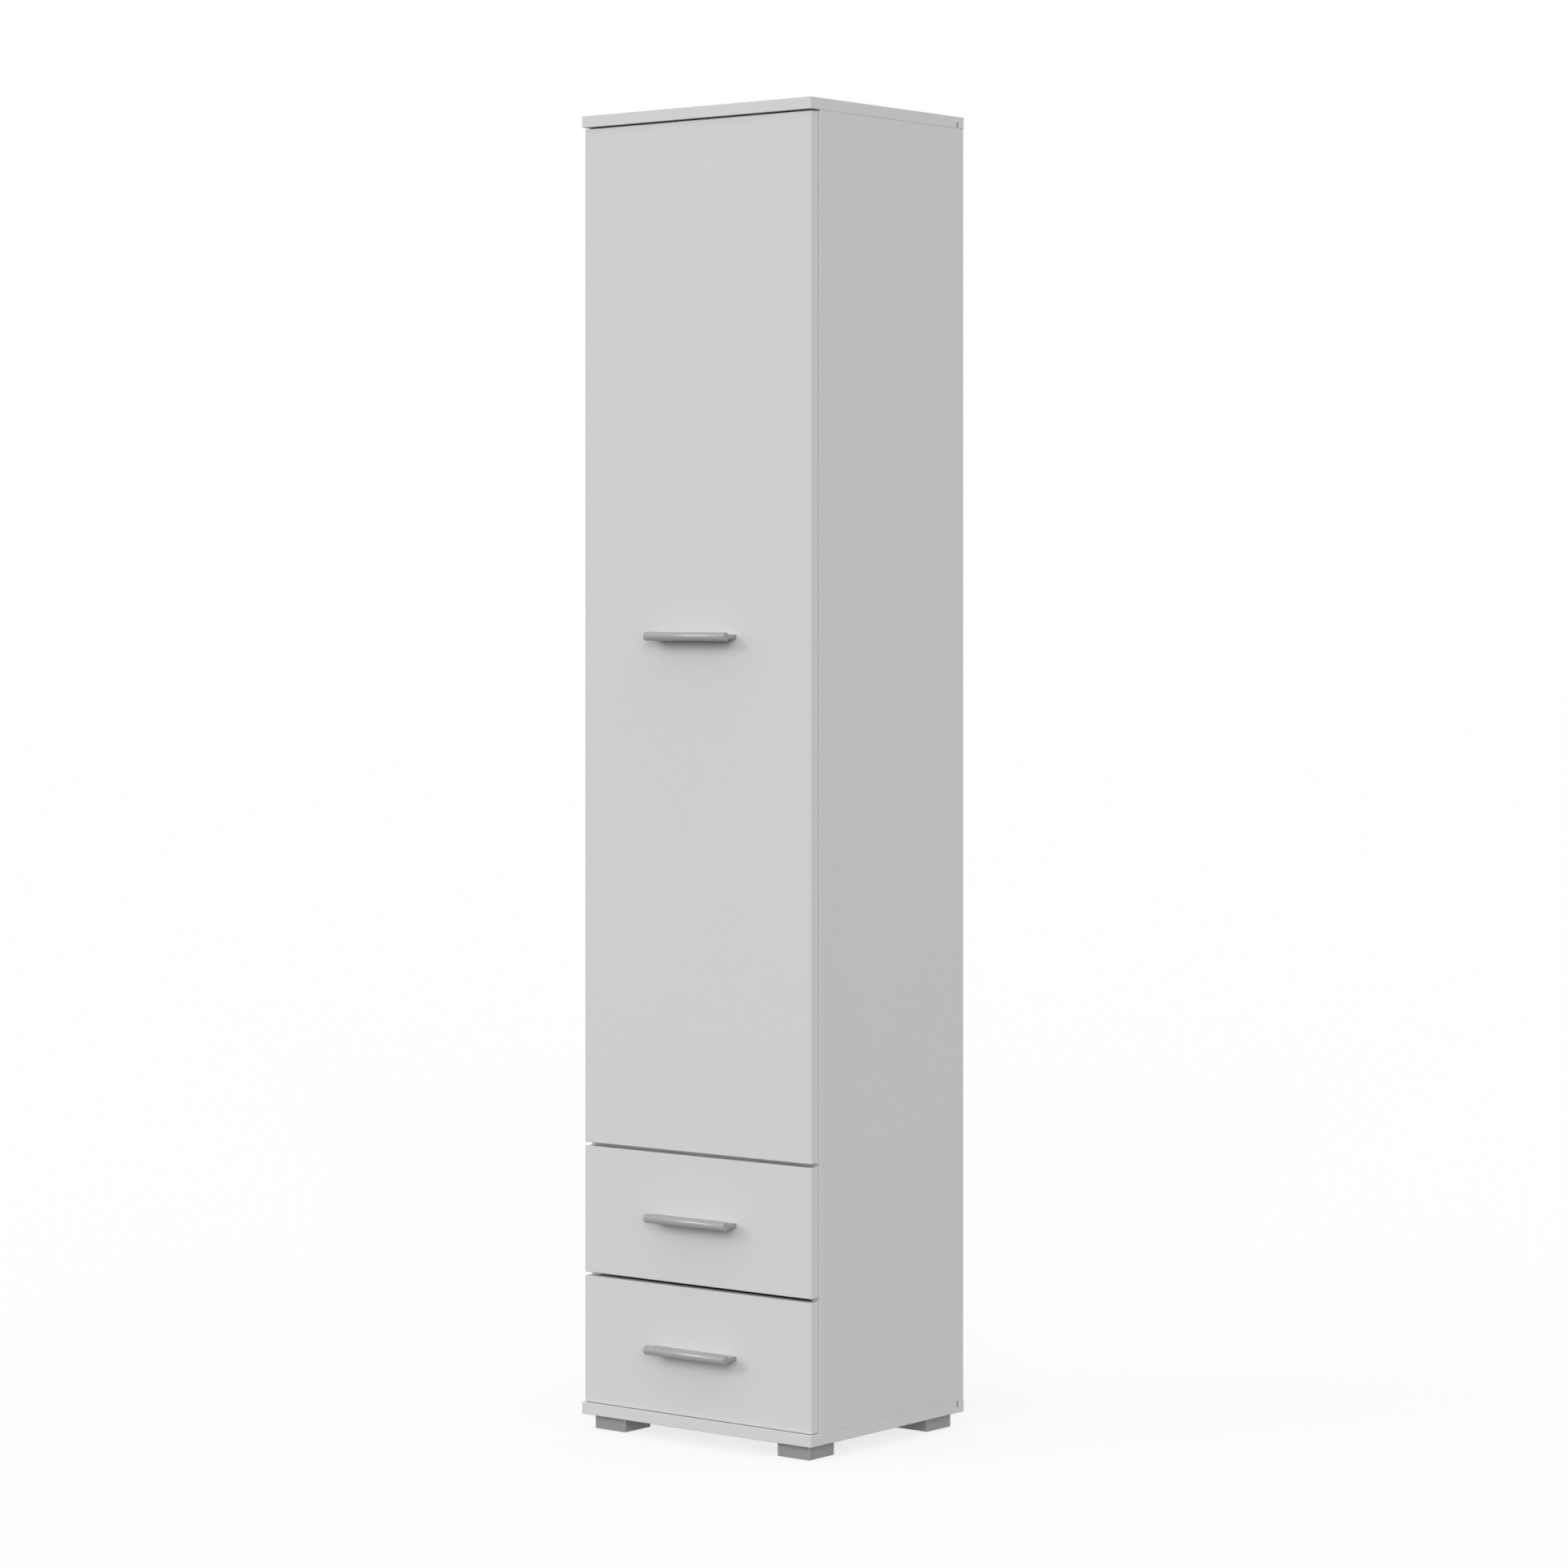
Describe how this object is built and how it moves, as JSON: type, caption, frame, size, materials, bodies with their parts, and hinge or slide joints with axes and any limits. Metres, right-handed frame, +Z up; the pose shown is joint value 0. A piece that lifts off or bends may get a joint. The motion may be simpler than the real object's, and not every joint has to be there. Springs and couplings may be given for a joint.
{
  "type": "tall cabinet",
  "caption": "Tall narrow storage cabinet with a hinged door above stacked drawers, horizontal bar handles and low square feet.",
  "frame": {"origin": "centre of the box round the whole cabinet, on the floor under the feet", "axes": "+Z up, +Y towards the wall behind, +X to the right seen from the front"},
  "size_m": [0.4, 0.3634, 1.8],
  "materials": {
    "carcass_board": "matt white melamine facing on particle board",
    "front_board": "smooth white melamine facing with edge band",
    "drawer_board": "white foil on thin board",
    "back_board": "white lacquered hardboard",
    "beech": "plain fluted dowel",
    "aluminium_bar": "satin anodised extrusion",
    "silver_plastic": "silver-grey moulded plastic",
    "zinc_fitting": "zinc plated",
    "nickel_steel": "nickel plated",
    "coated_steel": "white powder coat",
    "nylon": "moulded nylon",
    "soft_bumper": "soft clear bumper"
  },
  "bodies": {
    "carcass": {"top_panel": "carcass_board", "bottom_panel": "carcass_board", "left_side_panel": "carcass_board", "right_side_panel": "carcass_board", "divider_panel": "carcass_board", "fixed_shelf": "carcass_board", "lower_shelf": "carcass_board", "middle_shelf": "carcass_board", "upper_shelf": "carcass_board", "back_panel": "back_board", "shelf_pins": "zinc_fitting", "cam_discs": "zinc_fitting", "cam_bolts": "zinc_fitting", "dowels": "beech", "front_left_foot": "silver_plastic", "front_right_foot": "silver_plastic", "rear_left_foot": "silver_plastic", "rear_right_foot": "silver_plastic", "foot_screws": "zinc_fitting", "hinge_plates": "nickel_steel", "hinge_arms": "nickel_steel", "hinge_plate_screws": "zinc_fitting", "hinge_arm_screws": "zinc_fitting", "upper_left_cabinet_rail": "coated_steel", "upper_right_cabinet_rail": "coated_steel", "lower_left_cabinet_rail": "coated_steel", "lower_right_cabinet_rail": "coated_steel", "rail_screws": "zinc_fitting", "wall_bracket": "zinc_fitting", "wall_bracket_screws": "zinc_fitting"},
    "door": {"door_panel": "front_board", "door_handle": "aluminium_bar", "door_handle_screws": "zinc_fitting", "hinge_cups": "nickel_steel", "hinge_pins": "nickel_steel", "hinge_cup_screws": "zinc_fitting", "door_bumpers": "soft_bumper"},
    "upper_drawer": {"upper_drawer_front": "front_board", "upper_drawer_left_side": "drawer_board", "upper_drawer_right_side": "drawer_board", "upper_drawer_back": "drawer_board", "upper_drawer_bottom": "back_board", "upper_drawer_handle": "aluminium_bar", "upper_drawer_handle_screws": "zinc_fitting", "upper_drawer_rails": "coated_steel", "upper_drawer_fasteners": "zinc_fitting"},
    "upper_front_rollers": {"upper_front_rollers": "nylon"},
    "upper_rear_rollers": {"upper_rear_rollers": "nylon"},
    "lower_drawer": {"lower_drawer_front": "front_board", "lower_drawer_left_side": "drawer_board", "lower_drawer_right_side": "drawer_board", "lower_drawer_back": "drawer_board", "lower_drawer_bottom": "back_board", "lower_drawer_handle": "aluminium_bar", "lower_drawer_handle_screws": "zinc_fitting", "lower_drawer_rails": "coated_steel", "lower_drawer_fasteners": "zinc_fitting"},
    "lower_front_rollers": {"lower_front_rollers": "nylon"},
    "lower_rear_rollers": {"lower_rear_rollers": "nylon"}
  },
  "joints": [
    {"name": "door_hinge", "type": "hinge", "parent": "carcass", "child": "door", "pos_m": [-0.191, -0.1478, 1.0874], "axis": [0, 0, -1], "range_deg": [0, 95]},
    {"name": "upper_drawer_slide", "type": "slide", "parent": "carcass", "child": "upper_drawer", "axis": [0, -1, 0], "range_m": [0, 0.2]},
    {"name": "upper_front_roller_spin", "type": "hinge", "parent": "carcass", "child": "upper_front_rollers", "pos_m": [0, -0.1237, 0.2413], "axis": [1, 0, 0], "continuous": true},
    {"name": "upper_rear_roller_spin", "type": "hinge", "parent": "upper_drawer", "child": "upper_rear_rollers", "pos_m": [0, 0.1297, 0.2411], "axis": [1, 0, 0], "continuous": true},
    {"name": "lower_drawer_slide", "type": "slide", "parent": "carcass", "child": "lower_drawer", "axis": [0, -1, 0], "range_m": [0, 0.2]},
    {"name": "lower_front_roller_spin", "type": "hinge", "parent": "carcass", "child": "lower_front_rollers", "pos_m": [0, -0.1237, 0.0633], "axis": [1, 0, 0], "continuous": true},
    {"name": "lower_rear_roller_spin", "type": "hinge", "parent": "lower_drawer", "child": "lower_rear_rollers", "pos_m": [0, 0.1297, 0.0631], "axis": [1, 0, 0], "continuous": true}
  ],
  "couplings": [
    {"joint": "upper_front_roller_spin", "follows": "upper_drawer_slide", "rad_per_m": 125},
    {"joint": "upper_rear_roller_spin", "follows": "upper_drawer_slide", "rad_per_m": 125},
    {"joint": "lower_front_roller_spin", "follows": "lower_drawer_slide", "rad_per_m": 125},
    {"joint": "lower_rear_roller_spin", "follows": "lower_drawer_slide", "rad_per_m": 125}
  ]
}
